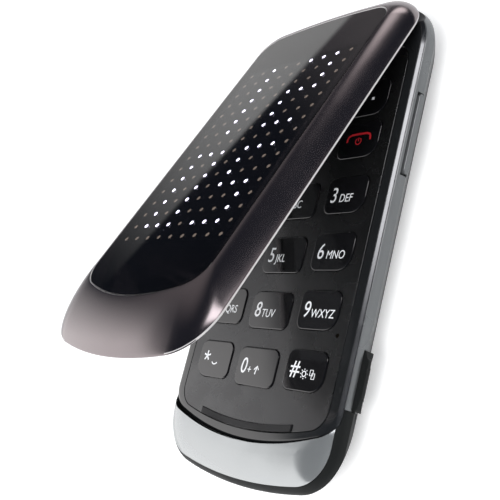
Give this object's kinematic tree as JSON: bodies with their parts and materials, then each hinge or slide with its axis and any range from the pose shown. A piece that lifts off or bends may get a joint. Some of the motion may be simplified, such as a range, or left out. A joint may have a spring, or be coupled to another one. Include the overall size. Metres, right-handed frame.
{
  "type": "flip phone",
  "caption": "Slim folding mobile phone, lid part open: keypad base with a rounded chin, hinged lid with a dot-lamp window and an inner display, side volume key and sockets.",
  "frame": {"origin": "middle of the flat back face, on the surface that the phone lies on", "axes": "+Z out of the back face towards the keypad, +Y from the chin towards the hinge, +X to the right seen from the keypad side"},
  "size_m": [0.0543, 0.1084, 0.0459],
  "materials": {
    "lid_metal": "dark metallic paint with a warm mauve sheen, semi-gloss",
    "window_black": "high-gloss black acrylic",
    "housing_grey": "grey metallic paint on plastic, semi-gloss",
    "rear_grey": "dark soft-touch plastic",
    "bezel_black": "glossy black plastic",
    "panel_grey": "satin dark grey metal sheet",
    "key_black": "glossy black key plastic with printed legends",
    "chin_silver": "pearl silver gloss plastic",
    "rubber_black": "black silicone rubber",
    "steel": "bright steel",
    "gold": "gold-plated contact",
    "board_green": "green solder resist on glass-epoxy",
    "inner_black": "fine-textured black plastic",
    "display_grey": "display module",
    "lamp_white": "small white lamps",
    "flex_amber": "polyimide film",
    "battery_grey": "wrapped cell",
    "nav_metal": "satin metal"
  },
  "bodies": {
    "base": {"front_housing": "housing_grey", "rear_housing": "rear_grey", "keypad_bezel": "bezel_black", "keypad_panel": "panel_grey", "panel_bumper": "rubber_black", "chin_housing": "housing_grey", "chin_cap": "chin_silver", "antenna": "gold", "battery": "battery_grey", "battery_contacts": "gold", "sim_holder": "steel", "main_board": "board_green", "shield_cans": "steel", "dome_sheet": "steel", "microphone": "gold", "loudspeaker": "inner_black", "vibration_motor": "steel", "camera_module": "inner_black", "camera_window": "window_black", "headset_jack": "inner_black", "usb_socket": "steel", "hinge_module": "steel", "hinge_pivot": "steel", "flex_cable": "flex_amber", "housing_screws": "steel"},
    "lid": {"lid_shell": "lid_metal", "lid_window": "window_black", "lamp_board": "board_green", "lamps": "lamp_white", "inner_cover": "inner_black", "display": "display_grey", "display_window": "window_black", "earpiece": "steel", "lid_magnet": "steel", "lid_bumpers": "rubber_black", "lid_screws": "steel"},
    "battery_cover": {"battery_cover": "rear_grey"},
    "usb_cover": {"usb_cover": "housing_grey"},
    "volume_key": {"volume_key": "housing_grey"},
    "nav_ring": {"nav_ring": "nav_metal"},
    "nav_ok": {"nav_ok": "nav_metal"},
    "key_1": {"key_1": "key_black"},
    "key_2": {"key_2": "key_black"},
    "key_3": {"key_3": "key_black"},
    "key_4": {"key_4": "key_black"},
    "key_5": {"key_5": "key_black"},
    "key_6": {"key_6": "key_black"},
    "key_7": {"key_7": "key_black"},
    "key_8": {"key_8": "key_black"},
    "key_9": {"key_9": "key_black"},
    "key_star": {"key_star": "key_black"},
    "key_0": {"key_0": "key_black"},
    "key_hash": {"key_hash": "key_black"},
    "key_send": {"key_send": "key_black"},
    "key_end": {"key_end": "key_black"},
    "key_soft_left": {"key_soft_left": "key_black"},
    "key_soft_right": {"key_soft_right": "key_black"}
  },
  "joints": [
    {"name": "lid_hinge", "type": "hinge", "parent": "base", "child": "lid", "pos_m": [0, 0.04865, 0.01075], "axis": [-1, 0, 0], "range_deg": [-22.5, 127.5]},
    {"name": "battery_cover_slide", "type": "slide", "parent": "base", "child": "battery_cover", "axis": [0, -1, 0], "range_m": [0, 0.006]},
    {"name": "usb_cover_hinge", "type": "hinge", "parent": "base", "child": "usb_cover", "pos_m": [0.0265, -0.0345, 0.00565], "axis": [0, 0, -1], "range_deg": [0, 100]},
    {"name": "volume_rock", "type": "hinge", "parent": "base", "child": "volume_key", "pos_m": [0.02485, 0.0206, 0.0071], "axis": [0, 0, 1], "range_deg": [-1.2, 1.2], "stiffness_Nm_per_rad": 0.02},
    {"name": "nav_tilt", "type": "hinge", "parent": "base", "child": "nav_ring", "pos_m": [0, 0.0249, 0.00835], "axis": [1, 0, 0], "range_deg": [-1.4, 1.4], "stiffness_Nm_per_rad": 0.05},
    {"name": "nav_ok_press", "type": "slide", "parent": "base", "child": "nav_ok", "axis": [0, 0, -1], "range_m": [0, 0.00035], "stiffness_N_per_m": 800, "springref_m": -0.0003},
    {"name": "key_1_press", "type": "slide", "parent": "base", "child": "key_1", "axis": [0, 0, -1], "range_m": [0, 0.00035], "stiffness_N_per_m": 800, "springref_m": -0.0003},
    {"name": "key_2_press", "type": "slide", "parent": "base", "child": "key_2", "axis": [0, 0, -1], "range_m": [0, 0.00035], "stiffness_N_per_m": 800, "springref_m": -0.0003},
    {"name": "key_3_press", "type": "slide", "parent": "base", "child": "key_3", "axis": [0, 0, -1], "range_m": [0, 0.00035], "stiffness_N_per_m": 800, "springref_m": -0.0003},
    {"name": "key_4_press", "type": "slide", "parent": "base", "child": "key_4", "axis": [0, 0, -1], "range_m": [0, 0.00035], "stiffness_N_per_m": 800, "springref_m": -0.0003},
    {"name": "key_5_press", "type": "slide", "parent": "base", "child": "key_5", "axis": [0, 0, -1], "range_m": [0, 0.00035], "stiffness_N_per_m": 800, "springref_m": -0.0003},
    {"name": "key_6_press", "type": "slide", "parent": "base", "child": "key_6", "axis": [0, 0, -1], "range_m": [0, 0.00035], "stiffness_N_per_m": 800, "springref_m": -0.0003},
    {"name": "key_7_press", "type": "slide", "parent": "base", "child": "key_7", "axis": [0, 0, -1], "range_m": [0, 0.00035], "stiffness_N_per_m": 800, "springref_m": -0.0003},
    {"name": "key_8_press", "type": "slide", "parent": "base", "child": "key_8", "axis": [0, 0, -1], "range_m": [0, 0.00035], "stiffness_N_per_m": 800, "springref_m": -0.0003},
    {"name": "key_9_press", "type": "slide", "parent": "base", "child": "key_9", "axis": [0, 0, -1], "range_m": [0, 0.00035], "stiffness_N_per_m": 800, "springref_m": -0.0003},
    {"name": "key_star_press", "type": "slide", "parent": "base", "child": "key_star", "axis": [0, 0, -1], "range_m": [0, 0.00035], "stiffness_N_per_m": 800, "springref_m": -0.0003},
    {"name": "key_0_press", "type": "slide", "parent": "base", "child": "key_0", "axis": [0, 0, -1], "range_m": [0, 0.00035], "stiffness_N_per_m": 800, "springref_m": -0.0003},
    {"name": "key_hash_press", "type": "slide", "parent": "base", "child": "key_hash", "axis": [0, 0, -1], "range_m": [0, 0.00035], "stiffness_N_per_m": 800, "springref_m": -0.0003},
    {"name": "key_send_press", "type": "slide", "parent": "base", "child": "key_send", "axis": [0, 0, -1], "range_m": [0, 0.00035], "stiffness_N_per_m": 800, "springref_m": -0.0003},
    {"name": "key_end_press", "type": "slide", "parent": "base", "child": "key_end", "axis": [0, 0, -1], "range_m": [0, 0.00035], "stiffness_N_per_m": 800, "springref_m": -0.0003},
    {"name": "key_soft_left_press", "type": "slide", "parent": "base", "child": "key_soft_left", "axis": [0, 0, -1], "range_m": [0, 0.00035], "stiffness_N_per_m": 800, "springref_m": -0.0003},
    {"name": "key_soft_right_press", "type": "slide", "parent": "base", "child": "key_soft_right", "axis": [0, 0, -1], "range_m": [0, 0.00035], "stiffness_N_per_m": 800, "springref_m": -0.0003}
  ]
}
